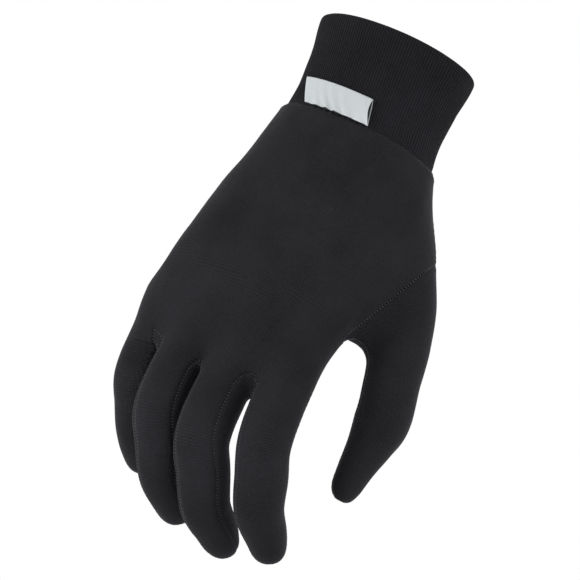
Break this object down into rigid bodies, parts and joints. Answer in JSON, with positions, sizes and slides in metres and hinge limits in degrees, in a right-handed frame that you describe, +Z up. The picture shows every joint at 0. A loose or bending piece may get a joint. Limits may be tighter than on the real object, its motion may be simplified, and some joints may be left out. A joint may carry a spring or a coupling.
{
  "type": "glove liner",
  "caption": "Right-hand knitted glove liner in the shape of a relaxed hand, with separate back, palm, fourchettes and set-in thumb, a ribbed folded cuff and a blank ribbon label",
  "frame": {"origin": "centre of the wrist seam, where the ribbed cuff is sewn to the hand", "axes": "+Z up the axis of the cuff and out of its open end, -Z towards the fingertips, -Y the back of the hand, +Y the palm, +X the thumb side"},
  "size_m": [0.1256, 0.0815, 0.2253],
  "materials": {
    "knit": "fine black jersey knit, soft sheen",
    "rib_knit": "black one by one rib knit, matt",
    "ribbon": "off-white woven satin ribbon"
  },
  "bodies": {
    "root": {"back_panel": "knit", "palm_panel": "knit", "fourchette_index_middle": "knit", "fourchette_middle_ring": "knit", "fourchette_ring_little": "knit", "thumb": "knit", "cuff": "rib_knit", "label": "ribbon"}
  },
  "joints": []
}
